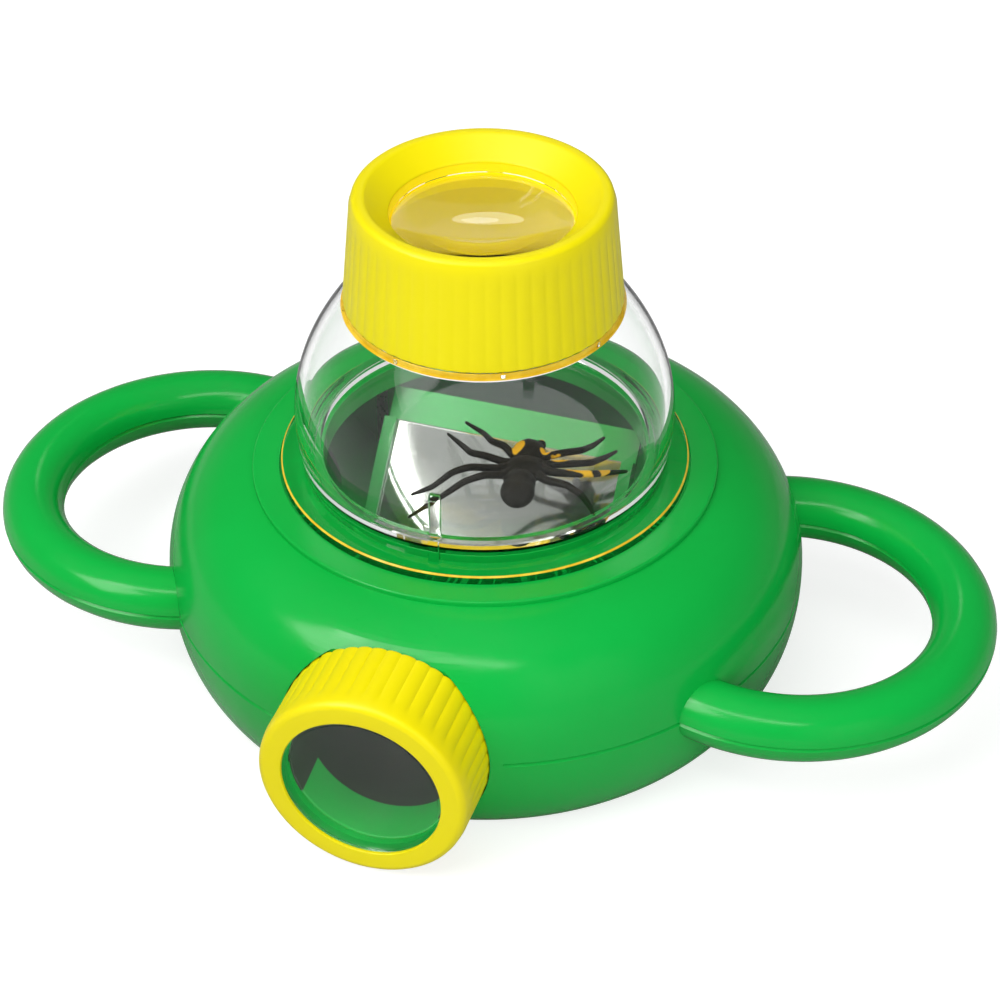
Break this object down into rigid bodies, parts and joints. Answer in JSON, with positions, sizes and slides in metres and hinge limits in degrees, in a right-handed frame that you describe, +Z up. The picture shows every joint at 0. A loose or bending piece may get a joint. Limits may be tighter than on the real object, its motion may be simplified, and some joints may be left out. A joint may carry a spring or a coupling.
{
  "type": "two-way bug viewer",
  "caption": "Round two-handled insect viewer with a clear domed chamber, magnifying screw cap on top and a side eyepiece that sees the chamber from below by a mirror.",
  "frame": {"origin": "centre of the flat underside, below the dome's axis", "axes": "+Z up along the dome and top cap, the eyepiece looks out along -Y, the handles reach along X"},
  "size_m": [0.2206, 0.1466, 0.1122],
  "materials": {
    "green_plastic": "smooth moulded, soft gloss",
    "yellow_plastic": "smooth moulded, soft gloss",
    "clear_plastic": "clear, polished",
    "lens": "clear, polished",
    "mirror": "silvered plastic sheet",
    "screw_steel": "plated",
    "spider_rubber": "satin, painted spots"
  },
  "bodies": {
    "root": {"lower_shell": "green_plastic", "upper_shell": "green_plastic", "mirror_bracket": "green_plastic", "mirror": "mirror", "dome": "clear_plastic", "chamber_floor": "clear_plastic", "eyepiece_tube": "green_plastic", "shell_screw_1": "screw_steel", "shell_screw_2": "screw_steel", "shell_screw_3": "screw_steel", "shell_screw_4": "screw_steel", "handle_screw_1": "screw_steel", "handle_screw_2": "screw_steel", "handle_screw_3": "screw_steel", "handle_screw_4": "screw_steel", "bracket_screw_1": "screw_steel", "bracket_screw_2": "screw_steel", "toy_spider": "spider_rubber"},
    "top_lens": {"top_lens": "lens"},
    "top_cap": {"top_cap": "yellow_plastic", "top_lens_ring": "yellow_plastic"},
    "eyepiece_lens": {"eyepiece_lens": "lens"},
    "eyepiece_cap": {"eyepiece_cap": "yellow_plastic", "eyepiece_lens_ring": "yellow_plastic"}
  },
  "joints": [
    {"name": "top_cap_lift", "type": "slide", "parent": "root", "child": "top_lens", "axis": [0, 0, 1], "range_m": [0, 0.009]},
    {"name": "top_cap_turn", "type": "hinge", "parent": "top_lens", "child": "top_cap", "pos_m": [0, 0, 0.1], "axis": [0, 0, 1], "range_deg": [0, 810]},
    {"name": "eyepiece_slide", "type": "slide", "parent": "root", "child": "eyepiece_lens", "axis": [0, -1, 0], "range_m": [0, 0.00675]},
    {"name": "eyepiece_turn", "type": "hinge", "parent": "eyepiece_lens", "child": "eyepiece_cap", "pos_m": [0, -0.07, 0.0222], "axis": [0, -1, 0], "range_deg": [0, 810]}
  ],
  "couplings": [
    {"joint": "top_cap_lift", "follows": "top_cap_turn", "m_per_rad": 0.00063662},
    {"joint": "eyepiece_slide", "follows": "eyepiece_turn", "m_per_rad": 0.00047746}
  ]
}
